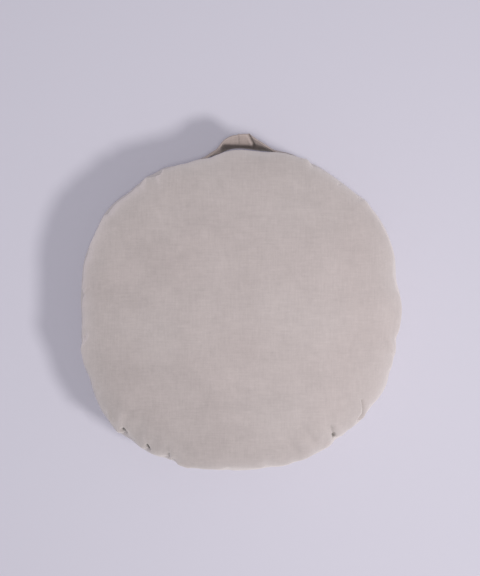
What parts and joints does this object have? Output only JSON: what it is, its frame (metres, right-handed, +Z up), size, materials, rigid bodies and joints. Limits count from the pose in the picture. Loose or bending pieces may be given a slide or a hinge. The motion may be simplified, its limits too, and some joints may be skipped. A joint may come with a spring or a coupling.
{
  "type": "round floor pouf",
  "caption": "Low round floor pouf in greige velvet, with a flat carry handle on its side band.",
  "frame": {"origin": "middle of the flat base that the pouf rests on", "axes": "+Z up out of the crown, +Y from the middle towards the carry handle, +X to the right of it"},
  "size_m": [0.5888, 0.6132, 0.1835],
  "materials": {
    "velvet_cover": "greige cotton velvet, matt, with a soft sheen where the pile turns away",
    "velvet_handle": "the same greige velvet folded double into a strap"
  },
  "bodies": {
    "root": {"pouf_body": "velvet_cover", "carry_handle": "velvet_handle"}
  },
  "joints": []
}
